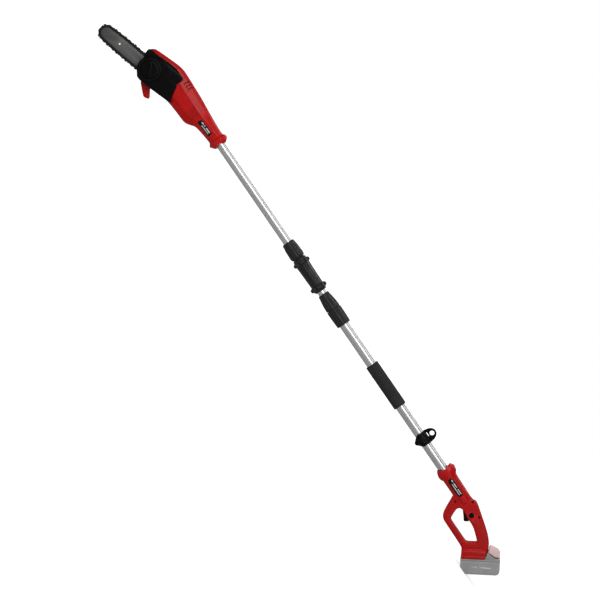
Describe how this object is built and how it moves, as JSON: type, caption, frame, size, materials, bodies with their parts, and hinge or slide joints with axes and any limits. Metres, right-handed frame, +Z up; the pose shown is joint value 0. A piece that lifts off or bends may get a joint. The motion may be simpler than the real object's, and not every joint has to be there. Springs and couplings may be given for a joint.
{
  "type": "telescoping pole saw",
  "caption": "Telescoping battery pole saw: small chainsaw head with hook on a screwed aluminium pole, foam grip, sliding harness eye, D-shaped trigger handle and slide-on battery.",
  "frame": {"origin": "centre of the saw's footprint, on the ground it lies on, directly under the middle of its length", "axes": "+X along the pole from the saw head towards the battery, +Y across it away from the chain cover, +Z up"},
  "size_m": [2.0926, 0.096, 0.1751],
  "materials": {
    "red_shell": "satin moulded",
    "black_plastic": "satin moulded",
    "ribbed_plastic": "matt moulded",
    "foam": "matt closed-cell foam",
    "tube_aluminium": "satin anodised",
    "cast_aluminium": "as cast",
    "bar_steel": "dark ground",
    "chain_steel": "blued",
    "bright_steel": "machined",
    "copper_winding": "enamelled copper",
    "contact_brass": "bright",
    "board_green": "solder mask",
    "cable_rubber": "matt",
    "battery_grey": "matt moulded",
    "latch_pink": "matt moulded",
    "cell_wrap": "shrink wrap",
    "tank_plastic": "translucent natural"
  },
  "bodies": {
    "handle": {"handle_shell_left": "red_shell", "handle_shell_right": "red_shell", "outer_tube": "tube_aluminium", "foam_grip": "foam", "clamp_base": "ribbed_plastic", "clamp_collet": "ribbed_plastic", "trigger_switch": "ribbed_plastic", "control_board": "board_green", "terminal_block": "contact_brass", "handle_screw_front": "bright_steel", "handle_screw_middle": "bright_steel", "handle_screw_rear": "bright_steel", "coiled_cable": "cable_rubber"},
    "telescope_nut": {"clamp_nut": "ribbed_plastic"},
    "finger_trigger": {"trigger": "black_plastic"},
    "lock_button": {"lock_off_button": "black_plastic"},
    "battery_pack": {"battery_case": "battery_grey", "battery_lid": "battery_grey", "battery_cells": "cell_wrap", "battery_terminals": "contact_brass"},
    "release_button": {"battery_latch": "latch_pink"},
    "harness_slider": {"harness_clamp_upper": "ribbed_plastic", "harness_clamp_lower": "ribbed_plastic", "harness_screw_left": "bright_steel", "harness_screw_right": "bright_steel"},
    "upper_pole": {"inner_tube": "tube_aluminium", "guide_bush": "ribbed_plastic", "union_ferrule": "bright_steel", "connector_socket": "ribbed_plastic", "pole_cable": "cable_rubber", "head_tube": "tube_aluminium", "union_collar": "ribbed_plastic", "connector_plug": "ribbed_plastic", "head_cable": "cable_rubber", "head_shell_left": "red_shell", "head_shell_right": "red_shell", "chain_cover": "black_plastic", "bar_mount_plate": "cast_aluminium", "bar_stud": "bright_steel", "guide_bar": "bar_steel", "saw_chain": "chain_steel", "bearing_near": "bright_steel", "bearing_far": "bright_steel", "bearing_bridge": "cast_aluminium", "motor_can": "bright_steel", "motor_end_cap": "black_plastic", "oil_tank": "tank_plastic", "oil_pump": "ribbed_plastic", "head_screw_upper": "bright_steel", "head_screw_lower": "bright_steel"},
    "union_nut": {"coupling_nut": "ribbed_plastic"},
    "motor_spindle": {"motor_rotor": "copper_winding", "motor_pinion": "bright_steel"},
    "drive_spindle": {"sprocket_shaft": "bright_steel", "crown_gear": "bright_steel", "drive_sprocket": "bright_steel"},
    "nose_wheel": {"nose_sprocket": "bright_steel"},
    "knob": {"cover_knob": "black_plastic"},
    "tensioner": {"tension_ring": "black_plastic"},
    "filler_cap": {"oil_cap": "black_plastic"}
  },
  "joints": [
    {"name": "telescope_slide", "type": "slide", "parent": "handle", "child": "upper_pole", "axis": [-1, 0, 0], "range_m": [0, 0.45]},
    {"name": "telescope_nut_turn", "type": "hinge", "parent": "handle", "child": "telescope_nut", "pos_m": [0.05324, 0, 0.127], "axis": [1, 0, 0], "range_deg": [0, 120]},
    {"name": "trigger_pull", "type": "hinge", "parent": "handle", "child": "finger_trigger", "pos_m": [0.82524, 0, 0.114], "axis": [0, -1, 0], "range_deg": [0, 10], "stiffness_Nm_per_rad": 0.5, "springref_deg": -8.59},
    {"name": "lock_off_press", "type": "slide", "parent": "handle", "child": "lock_button", "axis": [0, 1, 0], "range_m": [0, 0.0035], "stiffness_N_per_m": 400, "springref_m": -0.002},
    {"name": "battery_slide", "type": "slide", "parent": "handle", "child": "battery_pack", "axis": [0.6018, 0, 0.7986], "range_m": [0, 0.095]},
    {"name": "battery_release_press", "type": "slide", "parent": "battery_pack", "child": "release_button", "axis": [0.7986, 0, -0.6018], "range_m": [0, 0.003], "stiffness_N_per_m": 800, "springref_m": -0.002},
    {"name": "harness_slide", "type": "slide", "parent": "handle", "child": "harness_slider", "axis": [1, 0, 0], "range_m": [-0.08, 0.07]},
    {"name": "union_nut_turn", "type": "hinge", "parent": "upper_pole", "child": "union_nut", "pos_m": [-0.04776, 0, 0.127], "axis": [1, 0, 0], "range_deg": [0, 900]},
    {"name": "motor_spin", "type": "hinge", "parent": "upper_pole", "child": "motor_spindle", "pos_m": [-0.78054, 0.014, 0.09947], "axis": [0.9863, 0, 0.165], "continuous": true},
    {"name": "sprocket_spin", "type": "hinge", "parent": "upper_pole", "child": "drive_spindle", "pos_m": [-0.78054, 0, 0.09947], "axis": [0, 1, 0], "continuous": true},
    {"name": "nose_spin", "type": "hinge", "parent": "upper_pole", "child": "nose_wheel", "pos_m": [-1.02049, -0.014, 0.03293], "axis": [0, 1, 0], "continuous": true},
    {"name": "cover_knob_turn", "type": "hinge", "parent": "upper_pole", "child": "knob", "pos_m": [-0.84896, 0, 0.0805], "axis": [0, -1, 0], "range_deg": [0, 1080]},
    {"name": "tension_ring_turn", "type": "hinge", "parent": "upper_pole", "child": "tensioner", "pos_m": [-0.84896, 0, 0.0805], "axis": [0, -1, 0], "range_deg": [0, 270]},
    {"name": "oil_cap_turn", "type": "hinge", "parent": "upper_pole", "child": "filler_cap", "pos_m": [-0.85876, 0, 0.101], "axis": [0, 1, 0], "range_deg": [0, 720]}
  ],
  "couplings": [
    {"joint": "motor_spin", "follows": "sprocket_spin", "ratio": 3},
    {"joint": "nose_spin", "follows": "sprocket_spin", "ratio": 0.6}
  ]
}
